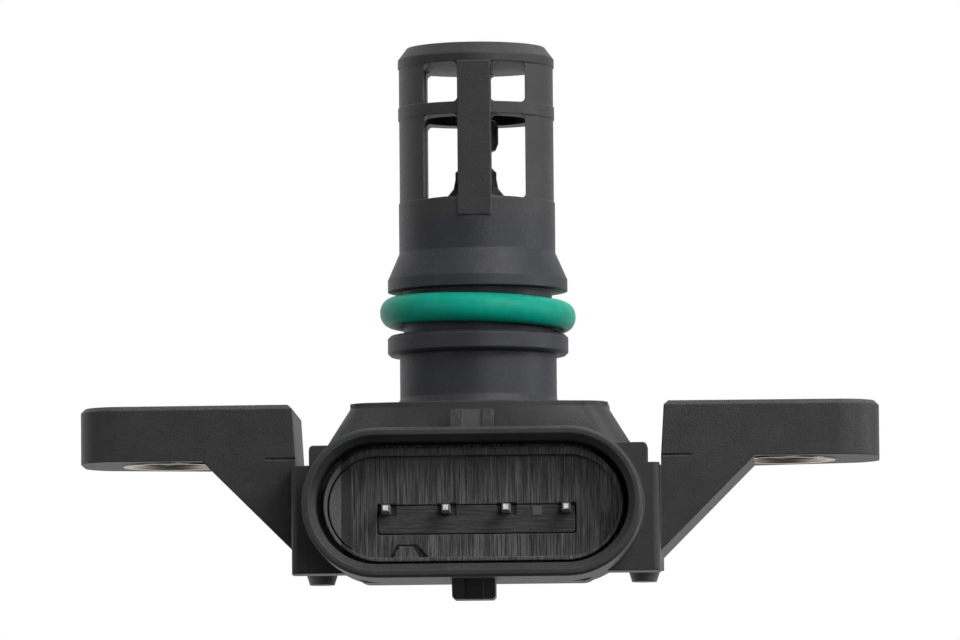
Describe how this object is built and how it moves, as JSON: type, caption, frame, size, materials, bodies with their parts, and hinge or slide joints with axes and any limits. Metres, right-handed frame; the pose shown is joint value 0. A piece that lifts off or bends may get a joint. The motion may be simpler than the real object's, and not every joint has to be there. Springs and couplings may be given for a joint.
{
  "type": "manifold absolute pressure sensor",
  "caption": "Black plastic engine pressure sensor with a caged air temperature probe, a green sealing ring, two fixing ears and an oval plug socket.",
  "frame": {"origin": "on the nose axis, level with the top of the body, midway between the two ear holes", "axes": "+Z along the nose to its tip, -Y out of the mouth of the plug socket, +X to the right ear as seen from the socket side"},
  "size_m": [0.0638, 0.025, 0.0449],
  "materials": {
    "housing_plastic": "matte, glass-filled, with fine mould texture",
    "carrier_plastic": "matte",
    "cover_plastic": "matte",
    "ring_rubber": "smooth rubber with a soft shine",
    "seal_adhesive": "soft, dull",
    "bush_steel": "plated, satin",
    "tinned_copper": "bright tin plating",
    "board_laminate": "lacquered",
    "chip_plastic": "matte",
    "ceramic": "dull",
    "silicon": "polished",
    "gel": "clear, soft",
    "gold_wire": "bright",
    "probe_resin": "glossy resin"
  },
  "bodies": {
    "root": {"housing": "housing_plastic", "bottom_cover": "cover_plastic", "cover_seal": "seal_adhesive", "o_ring": "ring_rubber", "bush_left": "bush_steel", "bush_right": "bush_steel", "terminal_carrier": "carrier_plastic", "terminal_1": "tinned_copper", "terminal_2": "tinned_copper", "terminal_3": "tinned_copper", "terminal_4": "tinned_copper", "circuit_board": "board_laminate", "gel_dam": "seal_adhesive", "chip_pedestal": "silicon", "pressure_chip": "silicon", "bond_wires": "gold_wire", "gel_fill": "gel", "signal_chip": "chip_plastic", "chip_capacitors": "ceramic", "solder_joints": "tinned_copper", "probe_lead_left": "tinned_copper", "probe_lead_right": "tinned_copper", "probe_bead": "probe_resin", "probe_potting": "probe_resin"}
  },
  "joints": []
}
